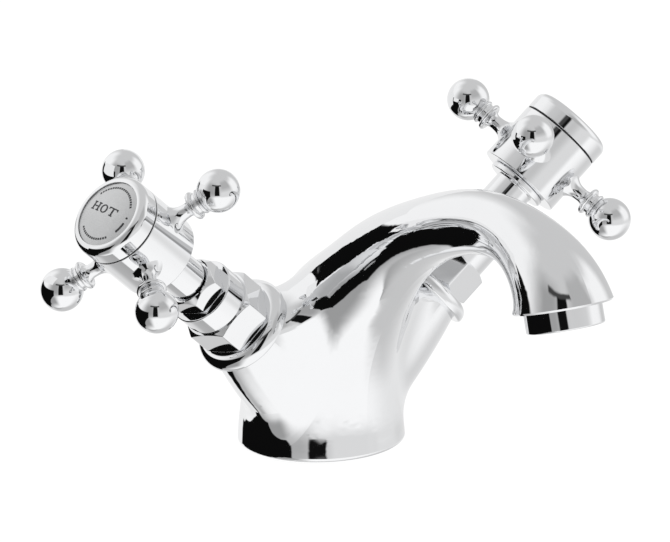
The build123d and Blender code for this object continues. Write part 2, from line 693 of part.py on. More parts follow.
def hub(valve):
    """Crosshead hub: square socket below, cup for the cap above and a socket for each arm."""
    with BuildPart() as head:
        with BuildSketch(valve.profile):
            with BuildLine():
                Polyline((neck_socket_radius, hub_bottom), (HUB_RADIUS - HUB_EDGE, hub_bottom),
                         (HUB_RADIUS, hub_bottom + HUB_EDGE), (HUB_RADIUS, hub_top - HUB_EDGE),
                         (HUB_RADIUS - HUB_EDGE, hub_top), (HUB_CUP_RADIUS, hub_top),
                         (HUB_CUP_RADIUS, cup_floor), (0, cup_floor), (0, socket_floor),
                         (neck_socket_radius, socket_floor), close=True)
            make_face()
        revolve(axis=valve.axis)
        square = SPINDLE_SQUARE + 2 * SQUARE_CLEARANCE
        with BuildSketch(valve.plane.offset(socket_floor)):
            Rectangle(square, square, rotation=valve.arm_phase)
        extrude(amount=SQUARE_LENGTH + SOCKET_END_GAP, mode=Mode.SUBTRACT)
        with BuildSketch(valve.plane.offset(cup_floor)):
            Circle(SCREW_RADIUS + SCREW_CLEARANCE)
        extrude(amount=socket_floor - cup_floor, mode=Mode.SUBTRACT)
        for socket_plane in valve.arm_sections(HUB_RADIUS):
            with BuildSketch(socket_plane):
                Circle(tenon_socket_radius)
            extrude(amount=-ARM_TENON_DEPTH - ARM_TENON_CLEARANCE, mode=Mode.SUBTRACT)
    return head


def handle_arms(valve):
    """Four turned arms with a trumpet root, two beads and a ball, each with a tenon for the hub."""
    seat = HUB_RADIUS + ARM_SEAT_CLEARANCE
    root = sqrt(HUB_RADIUS ** 2 - TRUMPET_RADIUS ** 2)
    ball_start = BALL_CIRCLE_RADIUS - sqrt(BALL_RADIUS ** 2 - GROOVE_RADIUS ** 2)
    ring_start = ball_start - RING_WIDTH
    bead_end = ring_start - GROOVE_WIDTH
    flare = bead_end - BEAD_WIDTH
    waist = HUB_RADIUS + (flare - HUB_RADIUS) * ARM_WAIST_SHARE
    with BuildPart() as arms:
        for arm_plane, arm_axis in valve.arm_planes():
            with BuildSketch(arm_plane):
                with BuildLine():
                    Line((root, 0), (root, TRUMPET_RADIUS))
                    Spline((root, TRUMPET_RADIUS), (waist, ARM_WAIST_RADIUS), (flare, ARM_FLARE_RADIUS),
                           tangents=((1, -2), (1, 1)))
                    Line((flare, ARM_FLARE_RADIUS), (flare, GROOVE_RADIUS))
                    ThreePointArc((flare, GROOVE_RADIUS), (flare + BEAD_WIDTH / 2, BEAD_RADIUS),
                                  (bead_end, GROOVE_RADIUS))
                    Line((bead_end, GROOVE_RADIUS), (ring_start, GROOVE_RADIUS))
                    ThreePointArc((ring_start, GROOVE_RADIUS), (ring_start + RING_WIDTH / 2, RING_RADIUS),
                                  (ball_start, GROOVE_RADIUS))
                    ThreePointArc((ball_start, GROOVE_RADIUS), (BALL_CIRCLE_RADIUS, BALL_RADIUS),
                                  (BALL_CIRCLE_RADIUS + BALL_RADIUS, 0))
                    Line((BALL_CIRCLE_RADIUS + BALL_RADIUS, 0), (root, 0))
                make_face()
            revolve(axis=arm_axis)
        with BuildSketch(valve.plane.offset(hub_bottom)):
            Circle(seat)
        extrude(amount=hub_top - hub_bottom, mode=Mode.SUBTRACT)
        for tenon_plane in valve.arm_sections(HUB_RADIUS + ARM_TENON_ROOT):
            with BuildSketch(tenon_plane):
                Circle(ARM_TENON_RADIUS)
            extrude(amount=-ARM_TENON_ROOT - ARM_TENON_DEPTH)
    return arms


def cap(valve):
    """Bezel with a rounded rim that screws into the hub's cup and frames the index disc."""
    spigot_radius = HUB_CUP_RADIUS - CAP_CLEARANCE
    spigot_bore = spigot_radius - CAP_SPIGOT_WALL
    spigot_bottom = hub_top - CAP_SPIGOT
    with BuildPart() as bezel:
        with BuildSketch(valve.profile):
            with BuildLine():
                Polyline((cap_rim_radius, cap_top), (disc_recess_radius, cap_top),
                         (disc_recess_radius, index_seat), (0, index_seat),
                         (0, index_seat - CAP_FLOOR), (spigot_bore, index_seat - CAP_FLOOR),
                         (spigot_bore, spigot_bottom), (spigot_radius, spigot_bottom),
                         (spigot_radius, hub_top), (HUB_RADIUS - HUB_EDGE, hub_top),
                         (HUB_RADIUS, hub_top + HUB_EDGE), (HUB_RADIUS, cap_edge))
                CenterArc((cap_rim_radius, cap_edge), CAP_ROUND, 0, 90)
            make_face()
        revolve(axis=valve.axis)
    return bezel


def index_disc(valve):
    """Domed disc that carries the temperature word."""
    edge_top = index_seat + INDEX_EDGE
    dome_top = edge_top + INDEX_DOME
    with BuildPart() as disc:
        with BuildSketch(valve.profile):
            with BuildLine():
                Polyline((0, dome_top), (0, index_seat), (index_radius, index_seat), (index_radius, edge_top))
                TangentArc((0, dome_top), (index_radius, edge_top), tangent=(1, 0))
            make_face()
        revolve(axis=valve.axis)
    return disc


def handle_screw(valve):
    """Screw that holds the hub down on the spindle."""
    tip = cup_floor - SCREW_LENGTH
    head_top = cup_floor + SCREW_HEAD_HEIGHT
    return turned(valve, (0, tip), (SCREW_RADIUS, tip), (SCREW_RADIUS, cup_floor),
                  (SCREW_HEAD_RADIUS, cup_floor), (SCREW_HEAD_RADIUS, head_top), (0, head_top))


def valve_pieces(valve):
    """Pieces of one valve and its handle, by name."""
    yield "flange", flange(valve)
    yield "bonnet", bonnet(valve)
    yield "bonnet_seal", seal_ring(valve, bonnet_radius - BONNET_SEAL_SECTION + SEAL_GROOVE_CLEARANCE,
                                   BONNET_SEAL_SECTION, bonnet_seal_level)
    yield "seat_seal", ring(valve, fixed_disc_radius - SEAT_SEAL_WIDTH, fixed_disc_radius,
                            bore_floor, fixed_disc_bottom)
    yield "fixed_disc", ceramic_disc(valve, fixed_disc_radius, fixed_disc_bottom, 0)
    yield "moving_disc", moving_disc(valve)
    yield "thrust_washer", ring(valve, spindle_free_radius, fixed_disc_radius, thrust_bottom, chamber_roof)
    yield "spindle", spindle(valve)
    yield "spindle_seal", seal_ring(valve, SPINDLE_RADIUS - SPINDLE_SEAL_SECTION,
                                    SPINDLE_SEAL_SECTION, spindle_seal_level)
    yield "gland_packing", ring(valve, spindle_free_radius, packing_radius, stuffing_floor, packing_top)
    yield "gland_follower", ring(valve, spindle_free_radius, packing_radius, packing_top, nut_lip_bottom)
    yield "gland_nut", gland_nut(valve)
    yield "stem_sleeve", stem_sleeve(valve)
    yield "hub", hub(valve)
    yield "handle_arms", handle_arms(valve)
    yield "handle_screw", handle_screw(valve)
    yield "cap", cap(valve)
    yield "index_disc", index_disc(valve)


if __name__ == "__main__":
    os.makedirs("parts", exist_ok=True)
    finish(cast_body(), "body")
    finish(base_seal(), "base_seal")
    finish(aerator_housing(), "aerator_housing")
    finish(aerator_insert(), "aerator_insert")
    finish(aerator_washer(), "aerator_washer")
    for valve in SIDES:
        for name, piece in valve_pieces(valve):
            finish(piece, f"{valve.name}_{name}")
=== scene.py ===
"""Looks of a two-handle basin mixer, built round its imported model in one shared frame."""
from __future__ import annotations

import logging
import math
from dataclasses import dataclass, field
from enum import Enum
from typing import Iterable, Sequence, Union

import bpy
import numpy as np
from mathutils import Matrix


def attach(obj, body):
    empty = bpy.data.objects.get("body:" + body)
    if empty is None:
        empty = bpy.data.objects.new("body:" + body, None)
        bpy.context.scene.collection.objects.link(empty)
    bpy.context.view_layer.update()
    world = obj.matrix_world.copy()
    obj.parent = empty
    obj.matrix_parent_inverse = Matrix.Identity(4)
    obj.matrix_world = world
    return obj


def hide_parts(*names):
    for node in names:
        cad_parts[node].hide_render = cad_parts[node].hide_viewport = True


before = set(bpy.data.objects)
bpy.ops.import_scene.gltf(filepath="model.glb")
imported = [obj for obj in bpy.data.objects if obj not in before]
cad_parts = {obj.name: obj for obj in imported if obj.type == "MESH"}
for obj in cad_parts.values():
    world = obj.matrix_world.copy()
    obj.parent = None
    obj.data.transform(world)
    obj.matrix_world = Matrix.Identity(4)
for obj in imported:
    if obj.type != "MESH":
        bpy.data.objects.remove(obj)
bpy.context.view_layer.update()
LOG = logging.getLogger("basin_mixer")
MM = 0.001
# Points that are closer than this, in millimetres, are one point of a mesh.
WELD = 2e-4
# Roundings, in millimetres, of edges that hardly show.
SOFT = 0.1
CRISP = 0.05
# Flats of a hexagon.
SIDES = 6
Array = np.ndarray
# Points and normals along an outline, and over a surface.
Strip = tuple[Array, Array]
Grid = tuple[Array, Array]
# What a node's socket can take.
Feed = Union[bpy.types.NodeSocket, float, Sequence[float]]


class Side(Enum):
    """The two valves, with the direction of each one's tilt along X."""

    HOT = -1
    COLD = 1

    @property
    def tag(self) -> str:
        """Name that starts this side's nodes."""
        return self.name.lower()


class Seen(Enum):
    """What a stage sheet shows up in."""

    MIRROR = "mirror"
    ALL = "all"


@dataclass(frozen=True)
class AxisFrame:
    """Right-handed frame: a point, the direction of its axis and the direction its angles start from."""

    origin: Array
    along: Array
    across: Array

    @property
    def beside(self) -> Array:
        """Direction square to the axis and to the start of the angles."""
        return np.cross(self.along, self.across)

    def turn(self, local: Array) -> Array:
        """Directions given in this frame, in the row frame."""
        return local @ np.stack([self.across, self.beside, self.along])

    def place(self, local: Array) -> Array:
        """Points given in this frame in millimetres, in the row frame in metres."""
        return (self.origin + self.turn(local)) * MM

    def raised(self, height: float) -> Array:
        """Point on the axis at a height in millimetres."""
        return self.origin + self.along * height


def rounded_outline(corners: Sequence[tuple[float, float, float]], closed: bool = False,
                    steps: int = 7) -> Strip:
    """Outline with each corner replaced by an arc that is tangent to both of its sides.

    The solid lies to the left of the outline, so the outward normal is the direction of travel turned right.

    Args:
        corners: Radius, height and rounding of each corner, in millimetres.
        closed: Whether the last corner joins the first.
        steps: Points on each arc.

    Returns:
        Points and outward normals, both as rows of (radius, height).
    """
    table = np.asarray(corners, float)
    point, rounding = table[:, :2], table[:, 2:3]
    before = point - np.roll(point, 1, axis=0)
    after = np.roll(point, -1, axis=0) - point
    if not closed:
        before[0], after[-1] = after[0], before[-1]
        rounding[[0, -1]] = 0.0
    heading = np.arctan2(before[:, 1], before[:, 0])[:, None]
    turn = np.arctan2(after[:, 1], after[:, 0])[:, None] - heading
    turn = (turn + np.pi) % (2 * np.pi) - np.pi
    angle = heading + turn * np.linspace(0, 1, steps)
    travel = np.stack([np.cos(angle), np.sin(angle)], axis=-1)
    outward = np.stack([travel[..., 1], -travel[..., 0]], axis=-1)
    start = point - travel[:, 0] * rounding * np.tan(np.abs(turn) / 2)
    bend = (rounding * np.sign(turn))[:, :, None]
    arc = start[:, None] + bend * (outward - outward[:, :1])
    points, normals = arc.reshape(-1, 2), outward.reshape(-1, 2)
    if closed:
        points, normals = np.vstack([points, points[:1]]), np.vstack([normals, normals[:1]])
    return points, normals


def arc_strip(centre: tuple[float, float], radius: float, start: float, end: float, steps: int) -> Strip:
    """Arc of an outline, with normals away from its centre.

    Args:
        centre: Radius and height of the centre.
        radius: Radius of the arc.
        start: First angle in degrees, from the radius axis towards the height axis.
        end: Last angle in degrees.
        steps: Points on the arc.

    Returns:
        Points and outward normals.
    """
    angle = np.radians(np.linspace(start, end, steps))
    outward = np.stack([np.cos(angle), np.sin(angle)], axis=-1)
    return np.asarray(centre) + radius * outward, outward


def lathe(axis: AxisFrame, strips: Iterable[Strip], columns: int = 96) -> list[Grid]:
    """Surface of revolution: the point at outline place u and angle v is the outline's point u turned by v.

    Args:
        axis: Frame whose axis the outline turns about.
        strips: Outline pieces, each with its own normals, as rows of (radius, height).
        columns: Steps round the axis.

    Returns:
        One grid of points and normals for each strip.
    """
    angle = np.linspace(0, 2 * np.pi, columns + 1)
    ring = np.stack([np.cos(angle), np.sin(angle)], axis=-1)
    grids = []
    for strip in strips:
        rows = np.stack(strip)[:, :, None]
        flat = rows[..., :1] * ring
        rise = np.broadcast_to(rows[..., 1:], flat.shape[:3] + (1,))
        points, normals = np.concatenate([flat, rise], axis=-1)
        grids.append((axis.place(points), axis.turn(normals)))
    return grids


@dataclass(frozen=True)
class Hexagon:
    """Spanner flats between two heights, with corners rounded off and a cone at each end."""

    across_flats: float
    bottom: float
    top: float
    phase: float
    top_radius: float
    top_angle: float = 30.0
    bottom_angle: float = 30.0
    corner_power: float = 90.0
    edge_power: float = 220.0
    crowding: float = 0.14
    cone_overrun: float = 1.15

    def wall(self, axis: AxisFrame, columns: int = 240, end_rows: int = 14) -> Grid:
        """Outer wall: radius r at angle v and height u is a power mean that picks the least of three radii.

        These are the flats, a/(sum of cos(v - flat)^p)^(1/p), and the two end cones, which widen from the
        flats' inner radius a at the bottom and from the top radius at the top. The normal has components 1,
        -(dr/dv)/r and -dr/du outwards, round and along.

        Args:
            axis: Valve frame.
            columns: Steps round the axis, crowded together at the corners.
            end_rows: Steps across each cone and a little past it.

        Returns:
            Grid of points and normals.
        """
        inner = self.across_flats / 2
        corner = inner / math.cos(math.pi / SIDES)
        widen = [1 / math.tan(math.radians(angle)) for angle in (self.bottom_angle, self.top_angle)]
        end = np.linspace(0, self.cone_overrun, end_rows)
        height = np.concatenate([self.bottom + end * (corner - inner) / widen[0],
                                 self.top - end[::-1] * (corner - self.top_radius) / widen[1]])[:, None]
        even = np.linspace(0, 2 * np.pi, columns + 1)
        angle = even + self.crowding * np.sin(SIDES * even)
        flat = np.arange(SIDES)[:, None] * 2 * np.pi / SIDES
        facing = np.clip(np.cos(angle - flat), 0, None)
        total = np.sum(facing ** self.corner_power, axis=0)
        sides = inner * total ** (-1 / self.corner_power)
        lean = np.sum(facing ** (self.corner_power - 1) * np.sin(angle - flat), axis=0) / total
        radii = (sides[None, :], inner + (height - self.bottom) * widen[0],
                 self.top_radius + (self.top - height) * widen[1])
        power = -self.edge_power
        radius = sum((r / inner) ** power for r in radii) ** (1 / power) * inner
        share = [(radius / r) ** (self.edge_power + 1) for r in radii]
        round_slope = share[0] * sides * lean
        rise_slope = share[1] * widen[0] - share[2] * widen[1]
        turned = angle + math.radians(self.phase + 180 / SIDES)
        cos, sin = np.cos(turned), np.sin(turned)
        points = np.stack([radius * cos, radius * sin, np.broadcast_to(height, radius.shape)], axis=-1)
        tilt = round_slope / radius
        normal = np.stack([cos + tilt * sin, sin - tilt * cos, -rise_slope], axis=-1)
        normal /= np.linalg.norm(normal, axis=-1, keepdims=True)
        return axis.place(points), axis.turn(normal)

    def ends(self, axis: AxisFrame, wall: Grid, bottom_hole: float, top_hole: float) -> list[Grid]:
        """Flat rings that join the wall's two rims to round holes, straight across between rim and hole.

        Args:
            axis: Valve frame.
            wall: Grid of the outer wall.
            bottom_hole: Radius of the hole at the bottom.
            top_hole: Radius of the hole at the top.

        Returns:
            Grids of the bottom and the top.
        """
        grids = []
        for row, hole, sign in ((0, bottom_hole, -1.0), (-1, top_hole, 1.0)):
            rim = wall[0][row] / MM - axis.origin
            height = rim @ axis.along
            flat = rim - height[:, None] * axis.along
            inner = flat * hole / np.linalg.norm(flat, axis=-1, keepdims=True)
            points = (axis.origin + np.stack([flat, inner]) + height[:, None] * axis.along) * MM
            grids.append((points, np.broadcast_to(sign * axis.along, points.shape)))
        return grids


def make_piece(name: str, grids: Sequence[Grid]) -> bpy.types.Object:
    """One mesh object from surface grids, welded where they meet and shaded with the surfaces' own normals.

    Args:
        name: Object name.
        grids: Grids of points in metres and of unit normals.

    Returns:
        The object, at the origin, with its place in its mesh.
    """
    points = np.concatenate([p.reshape(-1, 3) for p, _ in grids])
    normals = np.concatenate([n.reshape(-1, 3) for _, n in grids])
    quads, first = [], 0
    for p, _ in grids:
        index = first + np.arange(p.shape[0] * p.shape[1]).reshape(p.shape[:2])
        around = [index[:-1, :-1], index[:-1, 1:], index[1:, 1:], index[1:, :-1]]
        quads.append(np.stack(around, axis=-1).reshape(-1, 4))
        first += index.size
    quad = np.concatenate(quads)
    _, keep, weld = np.unique(np.round(points / (WELD * MM)).astype(np.int64), axis=0,
                              return_index=True, return_inverse=True)
    weld = weld.reshape(-1)
    corner = points[quad]
    facing = np.cross(corner[:, 2] - corner[:, 0], corner[:, 3] - corner[:, 1])
    flip = np.sum(facing * normals[quad].mean(axis=1), axis=1) < 0
    quad[flip] = quad[flip][:, ::-1]
    same = weld[quad] == weld[np.roll(quad, -1, axis=1)]
    whole, thin = ~same.any(axis=1), same.sum(axis=1) == 1
    loops = np.concatenate([quad[whole].reshape(-1), quad[thin][~same[thin]].reshape(-1)])
    sizes = np.concatenate([np.full(whole.sum(), 4), np.full(thin.sum(), 3)])
    mesh = bpy.data.meshes.new(name)
    mesh.vertices.add(len(keep))
    mesh.vertices.foreach_set("co", points[keep].reshape(-1))
    mesh.loops.add(len(loops))
    mesh.loops.foreach_set("vertex_index", weld[loops])
    mesh.polygons.add(len(sizes))
    mesh.polygons.foreach_set("loop_start", np.concatenate([[0], np.cumsum(sizes)[:-1]]))
    mesh.update(calc_edges=True)
    mesh.validate()
    mesh.shade_smooth()
    mesh.normals_split_custom_set(normals[loops].tolist())
    piece = bpy.data.objects.new(name, mesh)
    bpy.context.scene.collection.objects.link(piece)
    return piece


@dataclass(frozen=True)
class NodeBench:
    """Node tree of a world or a material, with short ways to put nodes into it."""

    tree: bpy.types.NodeTree

    @classmethod
    def cleared(cls, owner: Union[bpy.types.World, bpy.types.Material]) -> NodeBench:
        """Empty node tree.

        Args:
            owner: World or material that the tree belongs to.

        Returns:
            Bench for the tree.
        """
        owner.use_nodes = True
        owner.node_tree.nodes.clear()
        return cls(owner.node_tree)

    def feed(self, node: bpy.types.Node, inputs: dict[Union[str, int], Feed]) -> bpy.types.Node:
        """Give a node's inputs their sources and values.

        Args:
            node: The node.
            inputs: Socket to link or value to set, by the input's name or number.

        Returns:
            The same node.
        """
        for name, value in inputs.items():
            if isinstance(value, bpy.types.NodeSocket):
                self.tree.links.new(value, node.inputs[name])
            else:
                node.inputs[name].default_value = value
        return node

    def node(self, kind: str, inputs: dict[Union[str, int], Feed], **settings: str) -> bpy.types.Node:
        """Add a node.

        Args:
            kind: Blender's name for its type.
            inputs: Socket to link or value to set, by the input's name or number.
            settings: Its other settings.

        Returns:
            The node.
        """
        made = self.tree.nodes.new(kind)
        for name, value in settings.items():
            setattr(made, name, value)
        return self.feed(made, inputs)

    def calc(self, operation: str, *values: Feed) -> bpy.types.NodeSocket:
        """Result of a math node."""
        return self.node("ShaderNodeMath", dict(enumerate(values)), operation=operation).outputs[0]

    def along(self, direction: bpy.types.NodeSocket, vector: Array) -> bpy.types.NodeSocket:
        """How far a direction goes along a vector."""
        inputs = {0: direction, 1: vector}
        return self.node("ShaderNodeVectorMath", inputs, operation="DOT_PRODUCT").outputs["Value"]

    def ramp(self, value: bpy.types.NodeSocket, middle: float, half: float) -> bpy.types.NodeSocket:
        """Smooth step from 0 to 1 about a middle, with half its width to each side."""
        inputs = {"Value": value, "From Min": middle - half, "From Max": middle + half}
        return self.node("ShaderNodeMapRange", inputs, interpolation_type="SMOOTHSTEP").outputs["Result"]

    def blend(self, name: str, share: Feed, first: Feed, second: Feed) -> bpy.types.NodeSocket:
        """Mix of two numbers by the second one's share, in a node with a label."""
        inputs = {"Factor": share, "A": first, "B": second}
        return self.node("ShaderNodeMix", inputs, label=name).outputs["Result"]


@dataclass(frozen=True)
class Finish:
    """Procedural surface: a colour that drifts a little, a roughness that varies and a shallow relief."""

    name: str
    colour: tuple[float, float, float]
    metallic: float
    roughness: float
    drift: float = 0.02
    drift_size: float = 12.0
    drift_detail: float = 3.0
    grain: float = 0.02
    grain_size: float = 1.5
    grain_detail: float = 4.0
    relief: float = 0.0
    relief_size: float = 0.4
    relief_detail: float = 2.0
    noise_span: tuple[float, float] = (0.3, 0.7)

    def material(self) -> bpy.types.Material:
        """The material, made once and then shared.

        Returns:
            Material whose colour, roughness and relief come from noise on Object coordinates.
        """
        made = bpy.data.materials.get(self.name)
        if made is not None:
            return made
        made = bpy.data.materials.new(self.name)
        made.use_nodes = True
        bench = NodeBench(made.node_tree)
        place = bench.node("ShaderNodeTexCoord", {}).outputs["Object"]

        def noise(size: float, detail: float) -> bpy.types.NodeSocket:
            """Noise with features of a size in millimetres and some steps of finer detail."""
            inputs = {"Vector": place, "Scale": 1 / (size * MM), "Detail": detail}
            return bench.node("ShaderNodeTexNoise", inputs).outputs["Fac"]

        low, high = self.noise_span
        shade = bench.node("ShaderNodeMix", {
            "Factor": noise(self.drift_size, self.drift_detail),
            "A": (*(c * (1 - self.drift) for c in self.colour), 1),
            "B": (*(min(1.0, c * (1 + self.drift)) for c in self.colour), 1)}, data_type="RGBA")
        rough = bench.node("ShaderNodeMapRange", {
            "Value": noise(self.grain_size, self.grain_detail), "From Min": low, "From Max": high,
            "To Min": max(0.0, self.roughness - self.grain), "To Max": self.roughness + self.grain})
        shader = bench.feed(made.node_tree.nodes["Principled BSDF"], {
            "Metallic": self.metallic, "Base Color": shade.outputs["Result"],
            "Roughness": rough.outputs["Result"]})
        if self.relief:
            bump = bench.node("ShaderNodeBump", {
                "Strength": 1.0, "Distance": self.relief * MM,
                "Height": noise(self.relief_size, self.relief_detail)})
            bench.feed(shader, {"Normal": bump.outputs["Normal"]})
        return made


CHROME = Finish("bright_chrome", (0.87, 0.875, 0.885), 1.0, 0.035, drift=0.012, grain=0.012)
SATIN = Finish("satin_index", (0.62, 0.625, 0.63), 1.0, 0.36, drift=0.02, grain=0.03)
BRASS = Finish("turned_brass", (0.78, 0.58, 0.29), 1.0, 0.28, drift=0.05, grain=0.05)
STEEL = Finish("plain_steel", (0.60, 0.60, 0.61), 1.0, 0.30, drift=0.04, grain=0.05)
# Also dresses the dark ring of painted shade in the joint between each hub and its bezel.
RUBBER = Finish("seal_rubber", (0.025, 0.025, 0.027), 0.0, 0.75, drift=0.15, grain=0.08, relief=0.01)
CERAMIC = Finish("fired_ceramic", (0.84, 0.83, 0.80), 0.0, 0.30, drift=0.02, grain=0.05)
NYLON = Finish("white_nylon", (0.80, 0.80, 0.78), 0.0, 0.45, drift=0.03, grain=0.06)
INK = Finish("letter_enamel", (0.035, 0.035, 0.04), 0.0, 0.42, drift=0.10, grain=0.05)


def dress(piece: bpy.types.Object, finish: Finish) -> None:
    """Give an object one finish all over.

    Args:
        piece: New piece or carried-over solid.
        finish: Its finish.
    """
    piece.data.materials.clear()
    piece.data.materials.append(finish.material())
    LOG.info("dressed %s in %s", piece.name, finish.name)


@dataclass(frozen=True)
class ValveLine:
    """Where a valve stands: its axis leans out and forward from a point inside the body."""

    side: Side
    arm_phase: float
    hex_phase: float
    nut_phase: float
    word_shift: float = 0.0
    crossing: tuple[float, float, float] = (0.0, -3.0, 14.0)
    tilt: float = 47.7
    lean: float = 10.2

    @property
    def axis(self) -> AxisFrame:
        """Frame of the valve: up, tilted out to the side and leaning forward.

        Returns:
            Frame with its height along the valve axis.
        """
        tilt, lean = math.radians(self.tilt), math.radians(self.lean)
        along = np.array([self.side.value * math.sin(tilt), -math.cos(tilt) * math.sin(lean),
                          math.cos(tilt) * math.cos(lean)])
        across = np.cross([0.0, 1.0, 0.0], along)
        return AxisFrame(np.asarray(self.crossing), along, across / np.linalg.norm(across))


@dataclass
class ValvePart:
    """Sub-assembly about one valve's axis, with pieces that are named for the valve's side."""

    line: ValveLine

    @property
    def body(self) -> str:
        """Body that the pieces move with."""
        return "tap_body"

    def add(self, name: str, grids: Sequence[Grid], node: str = "", finish: Finish = CHROME,
            slot: str = "chrome") -> None:
        """Make and dress a piece, and settle it on its body and over its solid.

        Args:
            name: Name of the piece without its side.
            grids: Grids of points and normals.
            node: Name without its side of the solid that the piece replaces, if there is one.
            finish: Finish all over.
            slot: Not used.
        """
        tag = self.line.side.tag
        piece = make_piece(f"{tag}_{name}", grids)
        dress(piece, finish)
        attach(piece, self.body)
        if node:
            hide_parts(f"{tag}_{node}")
        LOG.info("built %s with %d faces", piece.name, len(piece.data.polygons))


@dataclass
class ValveTop(ValvePart):
    """Flange, bonnet and gland nut that show between the cast arm and the handle."""

    arm_end: float = 42.5
    flange_radius: float = 15.0
    flange_top: float = 46.9
    flange_dome: float = 3.3
    flange_round: float = 0.8
    flange_clearance: float = 0.15
    hex_across: float = 21.3
    hex_top: float = 57.1
    barrel_radius: float = 10.2
    barrel_top: float = 64.8
    barrel_round: float = 0.45
    skirt_radius: float = 8.9
    skirt_bore: float = 7.7
    skirt_bottom: float = 29.3
    skirt_round: float = 0.3
    skirt_overlap: float = 0.3
    chamber_roof: float = 37.45
    spindle_bore: float = 3.8
    stuffing_radius: float = 5.2
    stuffing_floor: float = 62.8
    spigot_radius: float = 6.4
    spigot_top: float = 68.8
    spigot_round: float = 0.2
    nut_across: float = 15.0
    nut_top: float = 71.1
    nut_mouth: float = 6.8
    nut_rim: float = 7.15
    nut_cone: float = 54.0
    nut_lip: tuple[float, float] = (68.9, 69.9)
    nut_thread: float = 6.5
    nut_hole: float = 4.05

    def flange(self) -> None:
        """Cover ring: an outline with a domed top, turned about the axis."""
        inside = self.skirt_radius + self.flange_clearance
        outline = rounded_outline([
            (inside, self.arm_end, SOFT), (self.flange_radius, self.arm_end, self.flange_round),
            (self.flange_radius, self.flange_top, self.flange_dome), (inside, self.flange_top, SOFT)],
            closed=True, steps=17)
        self.add("cover_ring", lathe(self.line.axis, [outline], columns=128), "flange")

    def bonnet(self) -> None:
        """Hexagon, and a turned barrel on a skirt that runs down into the arm."""
        axis, hole = self.line.axis, self.skirt_radius - self.skirt_overlap
        flats = Hexagon(across_flats=self.hex_across, bottom=self.flange_top, top=self.hex_top,
                        phase=self.line.hex_phase, top_radius=self.hex_across / 2)
        wall = flats.wall(axis)
        core = rounded_outline([
            (self.skirt_bore, self.skirt_bottom, SOFT),
            (self.skirt_radius, self.skirt_bottom, self.skirt_round),
            (self.skirt_radius, self.hex_top, SOFT), (self.barrel_radius, self.hex_top, CRISP),
            (self.barrel_radius, self.barrel_top, self.barrel_round),
            (self.spigot_radius, self.barrel_top, SOFT),
            (self.spigot_radius, self.spigot_top, self.spigot_round),
            (self.stuffing_radius, self.spigot_top, SOFT), (self.stuffing_radius, self.stuffing_floor, SOFT),
            (self.spindle_bore, self.stuffing_floor, SOFT), (self.spindle_bore, self.chamber_roof, SOFT),
            (self.skirt_bore, self.chamber_roof, SOFT)], closed=True)
        inside = rounded_outline([(hole, self.hex_top, 0.0), (hole, self.flange_top, 0.0)])
        grids = [wall, *flats.ends(axis, wall, hole, hole), *lathe(axis, [core], columns=128),
                 *lathe(axis, [inside], columns=240)]
        self.add("valve_bonnet", grids, "bonnet")

    def gland_nut(self) -> None:
        """Small hexagon nut with a conical top and a round mouth that the handle's neck drops into."""
        axis = self.line.axis
        flats = Hexagon(across_flats=self.nut_across, bottom=self.barrel_top, top=self.nut_top,
                        phase=self.line.nut_phase, top_radius=self.nut_rim, top_angle=self.nut_cone)
        wall = flats.wall(axis)
        lip_bottom, lip_top = self.nut_lip
        mouth = rounded_outline([
            (self.nut_mouth, self.nut_top, 0.0), (self.nut_mouth, lip_top, SOFT),
            (self.nut_hole, lip_top, SOFT), (self.nut_hole, lip_bottom, SOFT),
            (self.nut_thread, lip_bottom, SOFT), (self.nut_thread, self.barrel_top, 0.0)])
        grids = [wall, *flats.ends(axis, wall, self.nut_thread, self.nut_mouth),
                 *lathe(axis, [mouth], columns=240)]
        self.add("packing_nut", grids, "gland_nut")

    def build(self) -> None:
        """Make and dress every piece."""
        self.flange()
        self.bonnet()
        self.gland_nut()


